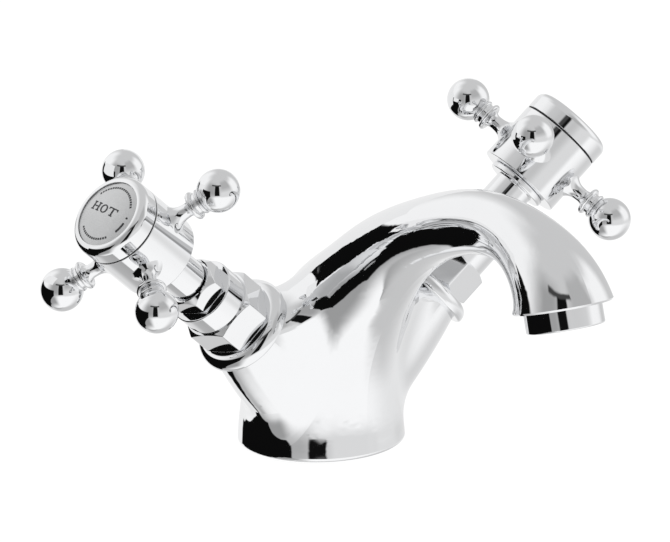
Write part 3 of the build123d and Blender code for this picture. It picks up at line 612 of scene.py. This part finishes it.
@dataclass
class CrossHandle(ValvePart):
    """Crosshead handle: neck, hub, four turned arms, bezel and index disc."""

    neck_radius: float = 6.2
    neck_bottom: float = 70.2
    neck_top: float = 89.8
    neck_bore: float = 4.05
    neck_round: float = 0.2
    collar_radius: float = 9.3
    collar_bottom: float = 84.3
    collar_round: float = 0.6
    collar_fillet: float = 0.5
    hub_radius: float = 12.9
    hub_bottom: float = 86.3
    hub_bore: float = 6.3
    hub_round: float = 0.35
    hub_top: float = 105.1
    cup_radius: float = 9.6
    cup_floor: float = 100.9
    arm_level: float = 95.3
    edge: float = 0.2
    joint_height: float = 0.5
    joint_depth: float = 0.6
    plug_radius: float = 9.5
    plug_bore: float = 8.0
    plug_bottom: float = 102.3
    plug_roof: float = 106.2
    cap_round: float = 2.4
    cap_top: float = 111.3
    recess: float = 10.35
    index_seat: float = 108.9
    index_radius: float = 10.25
    index_edge: float = 110.9
    index_top: float = 112.4
    ball_circle: float = 28.24
    ball_radius: float = 6.368
    trumpet_radius: float = 5.2
    trumpet_slope: float = -1.7
    waist_radius: float = 2.15
    waist_share: float = 0.66
    waist_slope: float = -0.06
    flare_radius: float = 2.9
    flare_slope: float = 0.9
    bead_radius: float = 4.4
    bead_width: float = 1.5
    groove_radius: float = 3.25
    groove_width: float = 1.15
    ring_radius: float = 3.9
    ring_width: float = 1.0
    arm_count: int = 4

    @property
    def body(self) -> str:
        """Body that turns with this valve."""
        return f"{self.line.side.tag}_handle"

    def sleeve(self) -> None:
        """Neck: a turned tube that widens into a collar under the hub."""
        outline = rounded_outline([
            (self.neck_bore, self.neck_bottom, SOFT), (self.neck_radius, self.neck_bottom, self.neck_round),
            (self.neck_radius, self.collar_bottom, self.collar_fillet),
            (self.collar_radius, self.collar_bottom, self.collar_round),
            (self.collar_radius, self.hub_bottom, self.collar_round),
            (self.neck_radius, self.hub_bottom, SOFT), (self.neck_radius, self.neck_top, SOFT),
            (self.neck_bore, self.neck_top, SOFT)], closed=True)
        self.add("neck_sleeve", lathe(self.line.axis, [outline]), "stem_sleeve")

    def hub(self) -> None:
        """Turned drum of the crosshead with softened rims, a narrow step under the bezel and a cup for it."""
        step, neck = self.hub_top - self.joint_height, self.hub_radius - self.joint_depth
        outline = rounded_outline([
            (self.hub_bore, self.hub_bottom, SOFT), (self.hub_radius, self.hub_bottom, self.hub_round),
            (self.hub_radius, step, self.edge), (neck, step, CRISP), (neck, self.hub_top, CRISP),
            (self.cup_radius, self.hub_top, SOFT), (self.cup_radius, self.cup_floor, SOFT),
            (self.hub_bore, self.cup_floor, SOFT)], closed=True)
        self.add("crosshead_hub", lathe(self.line.axis, [outline], columns=160), "hub")

    def bezel(self) -> None:
        """Turned cap with a quarter-round rim about the index disc and a hollow plug below."""
        outline = rounded_outline([
            (0.0, self.plug_roof, 0.0), (self.plug_bore, self.plug_roof, SOFT),
            (self.plug_bore, self.plug_bottom, SOFT), (self.plug_radius, self.plug_bottom, SOFT),
            (self.plug_radius, self.hub_top, SOFT), (self.hub_radius, self.hub_top, self.edge),
            (self.hub_radius, self.cap_top, self.cap_round), (self.recess, self.cap_top, SOFT),
            (self.recess, self.index_seat, CRISP), (0.0, self.index_seat, 0.0)], steps=17)
        self.add("bezel", lathe(self.line.axis, [outline], columns=160), "cap")

    def joint(self) -> None:
        """Painted shade: a dark turned ring at the bottom of the narrow joint between hub and bezel, dressed
        in seal rubber.
        """
        outer = self.hub_radius - self.joint_depth / 2
        inner = self.hub_radius - self.joint_depth
        bottom = self.hub_top - self.joint_height
        outline = rounded_outline([(inner, bottom, 0.0), (outer, bottom, 0.0), (outer, self.hub_top, 0.0),
                                   (inner, self.hub_top, 0.0)], closed=True)
        # This ring is painted shade standing in for the shadow in the gap, dressed in the seal rubber finish;
        # it is not a real seal.
        self.add("joint_ring", lathe(self.line.axis, [outline], columns=160), finish=RUBBER, slot="rubber")

    def dome_radius(self) -> float:
        """Radius of the sphere that the index disc's top is part of."""
        rise = self.index_top - self.index_edge
        return (self.index_radius ** 2 + rise ** 2) / (2 * rise)

    def index(self) -> None:
        """Domed disc: a straight edge under part of a sphere."""
        sphere = self.dome_radius()
        spread = math.degrees(math.asin(self.index_radius / sphere))
        side = rounded_outline([(0.0, self.index_seat, 0.0), (self.index_radius, self.index_seat, SOFT),
                                (self.index_radius, self.index_edge, 0.0)])
        dome = arc_strip((0.0, self.index_top - sphere), sphere, 90 - spread, 90, steps=40)
        grids = lathe(self.line.axis, [side, dome], columns=128)
        self.add("index", grids, "index_disc", SATIN, "index_silver")

    def arm_strips(self) -> list[Strip]:
        """Outline of one arm, with the radius across the arm and the height along it from the hub's centre.

        The trumpet's radius is two cubics that meet at the waist, where the slope is slight. The beads and
        the ball are arcs through the groove radius.

        Returns:
            Strips from the root inside the hub to the tip of the ball.
        """
        ball_start = self.ball_circle - math.sqrt(self.ball_radius ** 2 - self.groove_radius ** 2)
        ring_start = ball_start - self.ring_width
        bead_end = ring_start - self.groove_width
        flare = bead_end - self.bead_width
        root = math.sqrt(self.hub_radius ** 2 - self.trumpet_radius ** 2)
        waist = self.hub_radius + (flare - self.hub_radius) * self.waist_share

        def cubic(start: tuple[float, float, float], end: tuple[float, float, float], steps: int) -> Strip:
            """Cubic between two places, each a height, a radius and a slope of radius over height.

            Args:
                start: First place.
                end: Last place.
                steps: Points along the way.

            Returns:
                Points and outward normals.
            """
            t = np.linspace(0, 1, steps)
            span = end[0] - start[0]
            rise = end[1] - start[1]
            a, b = start[2] * span - rise, rise - end[2] * span
            radius = start[1] + t * rise + t * (1 - t) * ((1 - t) * a + t * b)
            slope = (rise + (1 - 2 * t) * ((1 - t) * a + t * b) + t * (1 - t) * (b - a)) / span
            normal = np.stack([np.ones_like(t), -slope], axis=-1)
            normal /= np.linalg.norm(normal, axis=-1, keepdims=True)
            return np.stack([radius, start[0] + t * span], axis=-1), normal

        def bead(start: float, width: float, top: float, steps: int) -> Strip:
            """Arc from groove to groove that reaches a top radius half-way.

            Args:
                start: Height at which it leaves the groove.
                width: Its width along the arm.
                top: Its largest radius.
                steps: Points on the arc.

            Returns:
                Points and outward normals.
            """
            sag = top - self.groove_radius
            radius = (width ** 2 / 4 + sag ** 2) / (2 * sag)
            half = math.degrees(math.asin(min(1.0, width / 2 / radius)))
            half = half if sag <= radius else 180 - half
            return arc_strip((top - radius, start + width / 2), radius, -half, half, steps)

        middle = (waist, self.waist_radius, self.waist_slope)
        tip = math.degrees(math.acos(self.groove_radius / self.ball_radius))
        return [
            cubic((root, self.trumpet_radius, self.trumpet_slope), middle, steps=22),
            cubic(middle, (flare, self.flare_radius, self.flare_slope), steps=12),
            rounded_outline([(self.flare_radius, flare, 0.0), (self.groove_radius, flare, 0.0)]),
            bead(flare, self.bead_width, self.bead_radius, steps=17),
            rounded_outline([(self.groove_radius, bead_end, 0.0), (self.groove_radius, ring_start, 0.0)]),
            bead(ring_start, self.ring_width, self.ring_radius, steps=13),
            arc_strip((0.0, self.ball_circle), self.ball_radius, -tip, 90, steps=44),
        ]

    def arms(self) -> None:
        """Turned arms with beads and balls, evenly spaced round the hub."""
        axis = self.line.axis
        centre = axis.raised(self.arm_level)
        strips = self.arm_strips()
        grids: list[Grid] = []
        for count in range(self.arm_count):
            turn = math.radians(self.line.arm_phase + count * 360 / self.arm_count)
            out = math.cos(turn) * axis.across + math.sin(turn) * axis.beside
            grids += lathe(AxisFrame(centre, out, axis.along), strips, columns=72)
        self.add("cross_arms", grids, "handle_arms")

    def build(self) -> None:
        """Make and dress every piece."""
        self.sleeve()
        self.hub()
        self.bezel()
        self.joint()
        self.index()
        self.arms()


@dataclass(frozen=True)
class Stroke:
    """Pen stroke on a flat page: the places of its two edges along the way, in millimetres."""

    left: Array
    right: Array

    @staticmethod
    def bar(start: tuple[float, float], end: tuple[float, float], width: float, steps: int = 5) -> Stroke:
        """Straight stroke of even width: centre line from start to end, edges half the width to each side.

        Args:
            start: First place of the centre line.
            end: Its last place.
            width: Width of the stroke.
            steps: Points along the way.

        Returns:
            The stroke.
        """
        centre = np.linspace(start, end, steps)
        way = (centre[-1] - centre[0]) / np.linalg.norm(centre[-1] - centre[0])
        aside = np.array([-way[1], way[0]]) * width / 2
        return Stroke(centre + aside, centre - aside)

    @staticmethod
    def bowl(centre: tuple[float, float], radii: tuple[float, float], start: float, end: float,
             thick: float, thin: float, steps: int = 41) -> Stroke:
        """Part of an oval: the width goes from thick at its sides to thin at its top and bottom.

        Args:
            centre: Middle of the oval.
            radii: Half-width and half-height of the oval's middle line.
            start: First angle in degrees.
            end: Last angle in degrees.
            thick: Width at the sides.
            thin: Width at the top and bottom.
            steps: Points along the way.

        Returns:
            The stroke.
        """
        angle = np.radians(np.linspace(start, end, steps))[:, None]
        ring = np.concatenate([np.cos(angle), np.sin(angle)], axis=1)
        half = (thin + (thick - thin) * np.cos(angle) ** 2) / 2
        middle = np.asarray(centre) + ring * np.asarray(radii)
        return Stroke(middle - ring * half, middle + ring * half)

    def moved(self, move: Sequence[float]) -> Stroke:
        """The same stroke at another place on the page."""
        return Stroke(self.left + move, self.right + move)


@dataclass(frozen=True)
class Alphabet:
    """Seriffed capitals drawn with strokes, on a baseline at zero."""

    height: float = 2.75
    stem: float = 0.60
    hair: float = 0.38
    serif: float = 0.66
    gap: float = 0.5
    first_stem: float = 0.7
    oval_middle: float = 1.4
    oval_half: float = 1.16
    tick: float = 0.85
    top_tick: float = 0.75

    def upright(self, x: float) -> list[Stroke]:
        """Stem with a serif at its foot and head.

        Args:
            x: Place of the stem's middle.

        Returns:
            Stem, foot and head.
        """
        top = self.height - self.hair / 2
        return [Stroke.bar((x, 0.0), (x, self.height), self.stem),
                Stroke.bar((x - self.serif, self.hair / 2), (x + self.serif, self.hair / 2), self.hair),
                Stroke.bar((x - self.serif, top), (x + self.serif, top), self.hair)]

    def letter(self, name: str) -> tuple[float, list[Stroke]]:
        """Width and strokes of one capital.

        Args:
            name: One of the letters C, D, H, L, O and T.

        Returns:
            The letter's width in millimetres and its strokes.
        """
        left, height, hair = self.first_stem, self.height, self.hair
        foot, top, middle = hair / 2, height - hair / 2, height / 2
        oval = (self.oval_half, height / 2 - hair / 2)
        if name == "H":
            width, right = 3.7, 3.0
            bar = Stroke.bar((left, middle), (right, middle), hair)
            return width, [*self.upright(left), *self.upright(right), bar]
        if name == "O":
            width = 2.8
            return width, [Stroke.bowl((self.oval_middle, middle), oval, 0, 360, self.stem, hair)]
        if name == "T":
            width, start, end, inset = 3.6, 0.05, 3.55, 0.10
            ticks = [Stroke.bar((x, height), (x, height - self.top_tick), hair)
                     for x in (start + inset, end - inset)]
            return width, [*self.upright(width / 2), Stroke.bar((start, top), (end, top), hair), *ticks]
        if name == "C":
            width, tip, opening = 2.7, 2.32, 42
            return width, [
                Stroke.bowl((self.oval_middle, middle), oval, opening, 360 - opening, self.stem, hair),
                Stroke.bar((tip, height), (tip, height - self.tick), hair)]
        if name == "L":
            width, end, tip = 2.6, 2.5, 2.4
            return width, [*self.upright(left), Stroke.bar((left, foot), (end, foot), hair),
                           Stroke.bar((tip, 0.0), (tip, self.tick), hair)]
        width, root, reach = 3.1, 0.9, 1.9
        bowl = Stroke.bowl((root, middle), (reach, oval[1]), -90, 90, self.stem, hair)
        return width, [*self.upright(left), bowl]

    def word(self, text: str) -> list[Stroke]:
        """Letters set side by side, with the middle of the word at zero.

        Args:
            text: Letters of the word.

        Returns:
            Strokes of the whole word.
        """
        letters = [self.letter(name) for name in text]
        start = -(sum(width for width, _ in letters) + self.gap * (len(letters) - 1)) / 2
        strokes: list[Stroke] = []
        for width, drawn in letters:
            strokes += [stroke.moved([start, 0.0]) for stroke in drawn]
            start += width + self.gap
        return strokes


@dataclass
class IndexLettering:
    """Temperature word on the domed disc, with plain dashes along parts of a circle round it."""

    handle: CrossHandle
    drop: float = -0.65
    ring_radius: float = 8.35
    arcs: tuple[tuple[float, float], ...] = ((32.0, 152.0), (-130.0, -50.0))
    long_dash: tuple[float, float] = (-28.0, -4.0)
    dot_angle: float = 7.0
    dash_step: float = 6.0
    dash_half: float = 1.9
    dash_width: float = 0.62
    proud: float = 0.05
    sunk: float = 0.10
    joined: float = 1e-6
    alphabet: Alphabet = Alphabet()

    def dash(self, start: float, end: float) -> Stroke:
        """Dash along the ring between two angles in degrees."""
        radii = (self.ring_radius, self.ring_radius)
        return Stroke.bowl((0.0, 0.0), radii, start, end, self.dash_width, self.dash_width)

    def ring(self) -> list[Stroke]:
        """Short dashes along two arcs, one long dash and a dot beside it.

        Returns:
            Strokes of the whole ring.
        """
        middles = np.concatenate([np.arange(start, end, self.dash_step) for start, end in self.arcs])
        dashes = [self.dash(middle - self.dash_half, middle + self.dash_half) for middle in middles.tolist()]
        return [*dashes, self.dash(*self.long_dash),
                self.dash(self.dot_angle - self.dash_half, self.dot_angle + self.dash_half)]

    def slab(self, stroke: Stroke) -> list[Grid]:
        """Thin plate under a stroke: its edges carried onto the dome's sphere, proud on top and sunk below.

        A place at distance r from the axis lies at the sphere's height there, c + sqrt(s^2 - r^2).

        Args:
            stroke: Edges on the flat page.

        Returns:
            Grids of the plate's top, underside, two sides and, unless its ends meet, two ends.
        """
        handle, axis = self.handle, self.handle.line.axis
        sphere = handle.dome_radius()
        flip = -float(handle.line.side.value)
        up, right = flip * axis.across, -flip * axis.beside

        def lifted(page: Array, rise: float) -> tuple[Array, Array]:
            """Page carried onto the dome.

            Args:
                page: Rows of places on the page.
                rise: Height over the dome.

            Returns:
                Points and the dome's normals there.
            """
            flat = page[:, :1] * right + page[:, 1:] * up
            bulge = np.sqrt(sphere ** 2 - np.sum(page ** 2, axis=1, keepdims=True))
            normal = (flat + bulge * axis.along) / sphere
            return axis.raised(handle.index_top - sphere) + normal * (sphere + rise), normal

        edges = (stroke.left, stroke.right)
        tops, normals = zip(*(lifted(edge, self.proud) for edge in edges))
        feet = [lifted(edge, -self.sunk)[0] for edge in edges]
        aside = tops[0] - tops[1]
        aside /= np.linalg.norm(aside, axis=1, keepdims=True)
        way = np.gradient(tops[0] + tops[1], axis=0)
        way /= np.linalg.norm(way, axis=1, keepdims=True)

        def strip(first: Array, second: Array, facing: Array) -> Grid:
            """Flat strip between two rows of points.

            Args:
                first: Points along one edge.
                second: Points along the other.
                facing: Normal at each place along them.

            Returns:
                Grid of points and normals.
            """
            points = np.stack([first, second], axis=1) * MM
            return points, np.broadcast_to(facing[:, None], points.shape)

        grids = [strip(tops[0], tops[1], normals[0]), strip(feet[0], feet[1], -normals[0]),
                 strip(tops[0], feet[0], aside), strip(tops[1], feet[1], -aside)]
        if np.linalg.norm(tops[0][0] - tops[0][-1]) > self.joined:
            for end, sign in ((0, -1.0), (-1, 1.0)):
                high, low = (np.stack([rows[0][end], rows[1][end]]) for rows in (tops, feet))
                grids.append(strip(high, low, np.repeat(sign * way[end][None], 2, axis=0)))
        return grids

    def build(self) -> None:
        """Make and dress the word and its ring as one piece."""
        line = self.handle.line
        word = [stroke.moved([line.word_shift, self.drop]) for stroke in self.alphabet.word(line.side.name)]
        grids = [grid for stroke in word + self.ring() for grid in self.slab(stroke)]
        self.handle.add("lettering", grids, finish=INK, slot="index_silver")


@dataclass
class CastBody:
    """Cast body, the aerator and what is inside the valves, carried over from the solids."""

    outer: dict[str, Finish] = field(default_factory=lambda: {
        "body": CHROME, "base_seal": RUBBER, "aerator_housing": CHROME, "aerator_insert": NYLON,
        "aerator_washer": RUBBER})
    inner: dict[str, Finish] = field(default_factory=lambda: {
        "bonnet_seal": RUBBER, "seat_seal": RUBBER, "fixed_disc": CERAMIC, "moving_disc": CERAMIC,
        "thrust_washer": NYLON, "spindle": BRASS, "spindle_seal": RUBBER, "gland_packing": NYLON,
        "gland_follower": BRASS, "handle_screw": STEEL})

    def build(self) -> None:
        """Dress the solids that show as they are."""
        finishes = dict(self.outer)
        for side in Side:
            finishes |= {f"{side.tag}_{node}": finish for node, finish in self.inner.items()}
        for node, finish in finishes.items():
            dress(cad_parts[node], finish)


@dataclass(frozen=True)
class SkyCard:
    """Area of the sky as the object's polish shows it, by bearing from the camera and height, in degrees.

    The low edge may climb, by slant for each degree to the right of the middle.
    """

    name: str
    bearing: float
    half_width: float
    low: float
    high: float
    edge: float
    level: float
    slant: float = 0.0


@dataclass(frozen=True)
class Reflector:
    """Flat white card beside the object that only its polish shows: corners in millimetres and brightness."""

    name: str
    corners: tuple[tuple[float, float, float], ...]
    level: float


@dataclass
class Studio:
    """Camera, pale floor, pale surroundings and the cards that give polished metal its contrast."""

    azimuth: float = -33.487
    elevation: float = 16.486
    roll: float = -1.267
    distance: float = 2061.9
    scale: float = 3.354
    shift_across: float = 4.042
    shift_up: float = 49.593
    frame_width: int = 670
    sensor_width: float = 36.0
    farthest: float = 50000.0
    floor_half: float = 6000.0
    floor_shade: float = 0.86
    floor_glow: float = 1.25
    floor_glow_share: float = 0.72
    sky_level: float = 0.64
    # Name, bearing, half-width, low and high edge, softness of the edges, brightness.
    cards: tuple[SkyCard, ...] = (
        SkyCard("table", 0, 200, -100, -16, 16, 1.06),
        SkyCard("table shaded on the left", -80, 50, -66, -14, 34, 0.36),
        SkyCard("table shaded behind", -170, 50, -100, -56, 20, 0.40),
        SkyCard("table shaded on the right", 150, 60, -100, -26, 60, 0.62),
        SkyCard("grey wall at the front left", -38, 24, -12, 46, 30, 0.38),
        SkyCard("grey screen at the upper right", 45, 28, 20, 60, 20, 0.48),
        SkyCard("pale screen at the lower right", 45, 32, -18, 8, 14, 0.78),
        SkyCard("left soft light", -122, 42, -20, 58, 34, 1.00),
        SkyCard("right soft light", 102, 24, -10, 44, 24, 1.02),
        SkyCard("back soft light", -172, 18, -34, 6, 14, 0.92),
        SkyCard("dark cloth on the left", -91, 50, -54, 9, 2.5, 0.004, slant=0.75),
        SkyCard("dark post in front", -5, 12.5, -12, 40, 4, 0.006),
        SkyCard("dark bar above the post", -10, 30, 37, 44, 4, 0.06),
    )
    reflectors: tuple[Reflector, ...] = (
        Reflector("left_reflector", ((-112, 0, 77), (-112, 110, 77), (-112, 110, 125), (-112, 0, 125)), 0.92),
        Reflector("back_reflector", ((-25, 64, 60), (120, 64, 60), (120, 64, 125), (-25, 64, 125)), 0.90),
    )

    def camera_basis(self) -> tuple[Array, Array, Array]:
        """Directions of the camera: turned round by the azimuth, tipped by the elevation, then rolled.

        Returns:
            Right, up and forward.
        """
        a, e, r = (math.radians(v) for v in (self.azimuth, self.elevation, self.roll))
        forward = np.array([-math.sin(a) * math.cos(e), math.cos(a) * math.cos(e), -math.sin(e)])
        right = np.array([math.cos(a), math.sin(a), 0.0])
        up = np.cross(right, forward)
        return math.cos(r) * right + math.sin(r) * up, math.cos(r) * up - math.sin(r) * right, forward

    def camera(self) -> None:
        """Long lens at the photograph's angle."""
        right, up, forward = self.camera_basis()
        lens = bpy.data.cameras.new("studio_camera")
        lens.sensor_width = self.sensor_width
        lens.lens = self.scale * self.distance * self.sensor_width / self.frame_width
        lens.clip_end = self.farthest * MM
        seat = bpy.data.objects.new("studio_camera", lens)
        bpy.context.scene.collection.objects.link(seat)
        place = (right * self.shift_across + up * self.shift_up - forward * self.distance) * MM
        matrix = np.eye(4)
        matrix[:3, 0], matrix[:3, 1], matrix[:3, 2], matrix[:3, 3] = right, up, -forward, place
        seat.matrix_world = matrix.T
        bpy.context.scene.camera = seat

    def sky(self) -> None:
        """Surroundings: white to the camera, and to all else pale with brighter and darker areas."""
        world = bpy.data.worlds.new("studio_sky")
        bpy.context.scene.world = world
        bench = NodeBench.cleared(world)
        direction = bench.node("ShaderNodeTexCoord", {}).outputs["Generated"]
        right, _, forward = self.camera_basis()
        flat_right = np.array([right[0], right[1], 0.0]) / math.hypot(right[0], right[1])
        flat_back = -np.array([forward[0], forward[1], 0.0]) / math.hypot(forward[0], forward[1])
        bearing = bench.calc("ARCTAN2", bench.along(direction, flat_right), bench.along(direction, flat_back))
        height = bench.calc("ARCSINE", bench.along(direction, np.array([0.0, 0.0, 1.0])))
        level: Feed = self.sky_level
        for card in self.cards:
            aside, half, low, high = (
                math.radians(v) for v in (card.bearing, card.half_width, card.low, card.high))
            soft = math.radians(card.edge) / 2
            turn = bench.calc("WRAP", bench.calc("SUBTRACT", bearing, aside), math.pi, -math.pi)
            climb = bench.calc("MULTIPLY", bench.calc("MAXIMUM", turn, 0.0), card.slant)
            inside = bench.calc("SUBTRACT", 1.0, bench.ramp(bench.calc("ABSOLUTE", turn), half, soft))
            above = bench.ramp(bench.calc("SUBTRACT", height, climb), low, soft)
            below = bench.calc("SUBTRACT", 1.0, bench.ramp(height, high, soft))
            cover = bench.calc("MULTIPLY", inside, bench.calc("MULTIPLY", above, below))
            level = bench.blend(card.name, cover, level, card.level)
        seen = bench.node("ShaderNodeLightPath", {}).outputs["Is Camera Ray"]
        white = bench.blend("white to the camera", seen, level, 1.0)
        shine = bench.node("ShaderNodeBackground", {"Color": (1, 1, 1, 1), "Strength": white})
        bench.node("ShaderNodeOutputWorld", {"Surface": shine.outputs["Background"]})

    def sheet(self, name: str, corners: Sequence[tuple[float, float, float]], seen: Seen) -> bpy.types.Object:
        """Flat four-cornered sheet: the corners mixed by two parameters.

        Args:
            name: Object name.
            corners: Four corners in millimetres, in order round the sheet.
            seen: What the sheet shows up in.

        Returns:
            Stage object.
        """
        a, b, c, d = (np.asarray(p, float) for p in corners)
        t = np.linspace(0, 1, 3)
        u, v = t[:, None, None], t[None, :, None]
        points = ((1 - u) * ((1 - v) * a + v * d) + u * ((1 - v) * b + v * c)) * MM
        normal = np.cross(b - a, d - a)
        piece = make_piece(name, [(points, np.broadcast_to(normal / np.linalg.norm(normal), points.shape))])
        if seen is Seen.MIRROR:
            piece.visible_camera = piece.visible_diffuse = piece.visible_shadow = False
        LOG.info("set up %s", name)
        return piece

    def floor(self) -> None:
        """Pale floor: nearly white to the camera, with the object's shadow; polish shows the sky's table."""
        half = self.floor_half
        corners = [(-half, -half, 0), (half, -half, 0), (half, half, 0), (-half, half, 0)]
        sheet = self.sheet("studio_floor", corners, Seen.ALL)
        paint = bpy.data.materials.new("floor_paint")
        bench = NodeBench.cleared(paint)
        shade = self.floor_shade
        matt = bench.node("ShaderNodeBsdfDiffuse", {"Color": (shade, shade, shade, 1)})
        glow = bench.node("ShaderNodeEmission", {"Strength": self.floor_glow})
        seen = bench.node("ShaderNodeLightPath", {}).outputs["Is Camera Ray"]
        share = bench.calc("MULTIPLY", seen, self.floor_glow_share)
        mix = bench.node("ShaderNodeMixShader", {"Fac": share, 1: matt.outputs[0], 2: glow.outputs[0]})
        bench.node("ShaderNodeOutputMaterial", {"Surface": mix.outputs[0]})
        sheet.data.materials.append(paint)
        sheet.visible_glossy = False

    def reflector(self, card: Reflector) -> None:
        """Stand one white card up.

        Args:
            card: Its name, place and brightness.
        """
        paint = bpy.data.materials.new(card.name)
        bench = NodeBench.cleared(paint)
        glow = bench.node("ShaderNodeEmission", {"Strength": card.level})
        bench.node("ShaderNodeOutputMaterial", {"Surface": glow.outputs[0]})
        self.sheet(card.name, card.corners, Seen.MIRROR).data.materials.append(paint)

    def build(self) -> None:
        """Set the whole studio up."""
        self.camera()
        self.sky()
        self.floor()
        for card in self.reflectors:
            self.reflector(card)
        bpy.context.scene.view_settings.view_transform = "Standard"


def main() -> None:
    """Build every sub-assembly in order, then the studio."""
    logging.basicConfig(level=logging.INFO, format="%(message)s")
    CastBody().build()
    for line in (ValveLine(Side.HOT, arm_phase=53.8, hex_phase=50.2, nut_phase=52.0, word_shift=-1.2),
                 ValveLine(Side.COLD, arm_phase=42.9, hex_phase=20.0, nut_phase=35.0)):
        ValveTop(line).build()
        handle = CrossHandle(line)
        handle.build()
        IndexLettering(handle).build()
    Studio().build()


if __name__ == "__main__":
    main()
